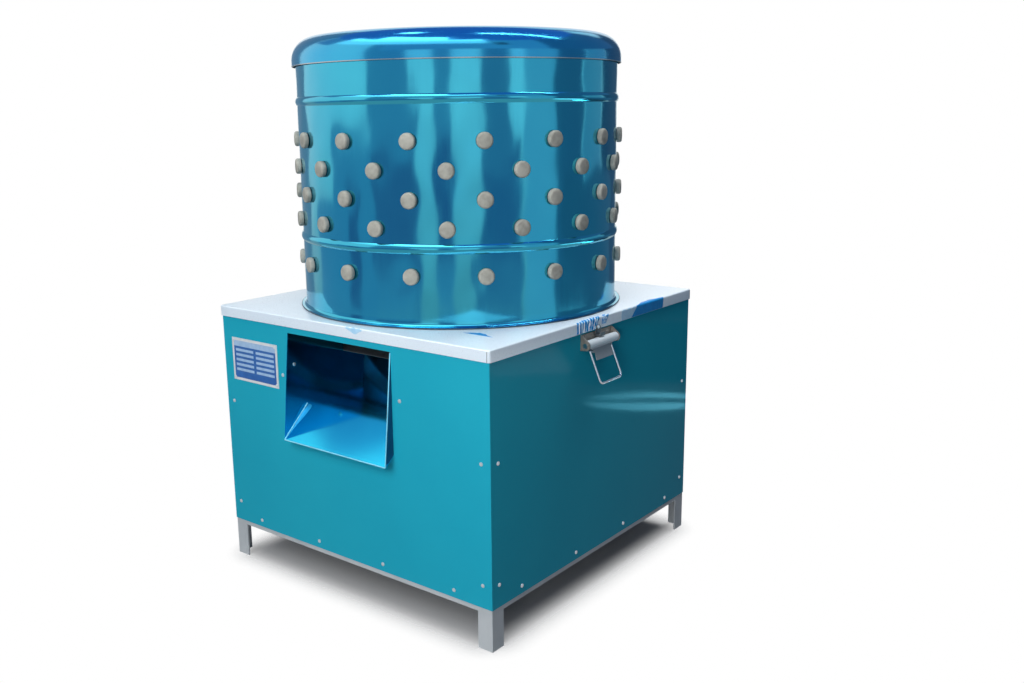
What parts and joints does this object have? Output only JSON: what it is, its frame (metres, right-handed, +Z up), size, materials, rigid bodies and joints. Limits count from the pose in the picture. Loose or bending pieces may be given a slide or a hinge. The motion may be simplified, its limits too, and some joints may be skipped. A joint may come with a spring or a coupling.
{
  "type": "poultry plucker",
  "caption": "Drum poultry plucker: finger-lined drum with a rolled rim on a square sheet-metal base that holds a belt-driven rotor, feather chute, tilting top, side latch and switch box.",
  "frame": {"origin": "on the floor, under the axis of the drum and midway between the four legs", "axes": "+Z up along the drum's axis, -Y towards the feather chute, +X towards the latch"},
  "size_m": [0.7008, 0.736, 1.003],
  "materials": {
    "frame_paint": "satin light grey paint",
    "panel_enamel": "semi-gloss blue-green enamel",
    "rivet_aluminium": "bright",
    "chute_film": "blue film over sheet steel",
    "tray_stainless": "brushed",
    "data_plate": "printed blue, bare border",
    "cast_iron": "machined and painted casting",
    "bearing_steel": "ground",
    "seal_rubber": "matt",
    "zinc_steel": "zinc plated",
    "wire_steel": "bright wire",
    "motor_paint": "grey-blue machine paint",
    "copper_winding": "varnished",
    "rotor_steel": "turned",
    "belt_rubber": "matt",
    "black_plastic": "moulded",
    "contact_plastic": "moulded",
    "plate_stainless": "bright sheet",
    "drum_film": "blue film over bright sheet",
    "rim_film": "blue film over bright sheet",
    "finger_rubber": "moulded, matt",
    "green_plastic": "moulded",
    "red_plastic": "moulded"
  },
  "bodies": {
    "base": {"corner_posts": "frame_paint", "bottom_rails": "frame_paint", "top_rails": "frame_paint", "mid_rails": "frame_paint", "cross_beams": "frame_paint", "front_panel": "panel_enamel", "back_panel": "panel_enamel", "left_panel": "panel_enamel", "right_panel": "panel_enamel", "panel_rivets": "rivet_aluminium", "feather_chute": "chute_film", "feather_tray": "tray_stainless", "nameplate": "data_plate", "bearing_housing": "cast_iron", "bearing_outer_rings": "bearing_steel", "bearing_balls": "bearing_steel", "shaft_seals": "seal_rubber", "bearing_bolts": "zinc_steel", "motor_plate": "zinc_steel", "motor_bolts": "zinc_steel", "motor_flange_bell": "motor_paint", "motor_housing": "motor_paint", "motor_stator": "copper_winding", "motor_bearings": "bearing_steel", "motor_rear_bell": "motor_paint", "motor_fan_cover": "motor_paint", "motor_terminal_box": "motor_paint", "drive_belt": "belt_rubber", "latch_base": "zinc_steel", "latch_pin": "zinc_steel", "hinge_lower_leaves": "zinc_steel", "hinge_pins": "zinc_steel", "base_fitting_rivets": "rivet_aluminium", "switch_box": "black_plastic", "switch_cover": "black_plastic", "switch_screws": "zinc_steel", "contact_block": "contact_plastic", "cable_gland": "black_plastic"},
    "drum_top": {"top_plate": "plate_stainless", "drum": "drum_film", "drum_rim": "rim_film", "drum_fingers": "finger_rubber", "latch_keeper": "zinc_steel", "hinge_upper_leaves": "zinc_steel", "lid_rivets": "rivet_aluminium"},
    "rotor": {"rotor_disc": "tray_stainless", "rotor_fingers": "finger_rubber", "rotor_hub": "cast_iron", "rotor_bolts": "zinc_steel", "main_shaft": "bearing_steel", "bearing_inner_rings": "bearing_steel", "driven_pulley": "cast_iron", "sweeper_blades": "tray_stainless"},
    "motor_rotor": {"motor_shaft": "rotor_steel", "motor_pulley": "cast_iron", "motor_fan": "black_plastic"},
    "lever": {"latch_lever": "zinc_steel"},
    "bail": {"latch_bail": "wire_steel"},
    "start": {"start_button": "green_plastic"},
    "stop": {"stop_button": "red_plastic"}
  },
  "joints": [
    {"name": "drum_tilt", "type": "hinge", "parent": "base", "child": "drum_top", "pos_m": [-0.335, 0, 0.489], "axis": [0, -1, 0], "range_deg": [0, 80]},
    {"name": "rotor_spin", "type": "hinge", "parent": "base", "child": "rotor", "pos_m": [0, 0, 0.3], "axis": [0, 0, 1], "continuous": true},
    {"name": "motor_spin", "type": "hinge", "parent": "base", "child": "motor_rotor", "pos_m": [0, 0.215, 0.3], "axis": [0, 0, 1], "continuous": true},
    {"name": "latch_lever_swing", "type": "hinge", "parent": "base", "child": "lever", "pos_m": [0.3375, -0.022, 0.469], "axis": [0, -1, 0], "range_deg": [-8, 100]},
    {"name": "latch_bail_swing", "type": "hinge", "parent": "lever", "child": "bail", "pos_m": [0.33654, -0.022, 0.45603], "axis": [0, -1, 0], "range_deg": [-8, 60]},
    {"name": "start_press", "type": "slide", "parent": "base", "child": "start", "axis": [0, -1, 0], "range_m": [0, 0.004], "stiffness_N_per_m": 400},
    {"name": "stop_press", "type": "slide", "parent": "base", "child": "stop", "axis": [0, -1, 0], "range_m": [0, 0.004], "stiffness_N_per_m": 400}
  ],
  "couplings": [
    {"joint": "motor_spin", "follows": "rotor_spin", "ratio": 4}
  ]
}
